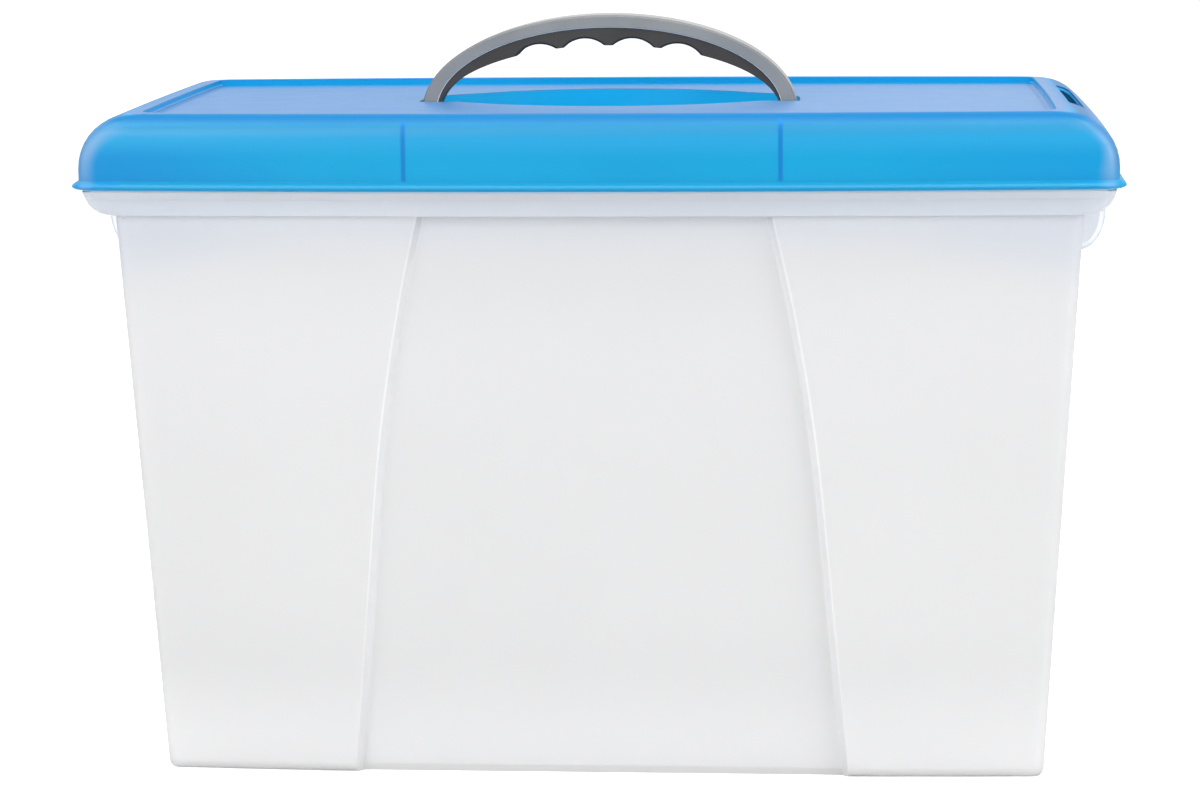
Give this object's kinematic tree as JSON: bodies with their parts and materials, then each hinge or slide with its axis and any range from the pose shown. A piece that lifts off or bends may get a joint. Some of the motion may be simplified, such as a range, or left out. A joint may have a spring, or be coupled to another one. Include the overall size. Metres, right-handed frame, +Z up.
{
  "type": "portable file box",
  "caption": "Portable file box: tapered translucent tub for suspension files, lift-off lid with sunk top and hand well, and an arched carry handle that folds flat.",
  "frame": {"origin": "centre of the tub's base, on the surface it stands on", "axes": "+Z up; +X along the length; -Y is the front long side; the handle folds towards +Y"},
  "size_m": [0.4384, 0.23, 0.3203],
  "materials": {
    "tub": "frosted translucent",
    "lid": "satin translucent",
    "handle_frame": "satin",
    "handle_grip": "soft matte"
  },
  "bodies": {
    "tub": {"tub": "tub"},
    "lid": {"lid": "lid"},
    "handle": {"handle_frame": "handle_frame", "handle_grip": "handle_grip"}
  },
  "joints": [
    {"name": "lid_lift", "type": "slide", "parent": "tub", "child": "lid", "axis": [0, 0, 1], "range_m": [0, 0.1]},
    {"name": "handle_fold", "type": "hinge", "parent": "lid", "child": "handle", "pos_m": [0, 0.005, 0.2715], "axis": [-1, 0, 0], "range_deg": [0, 90]}
  ]
}
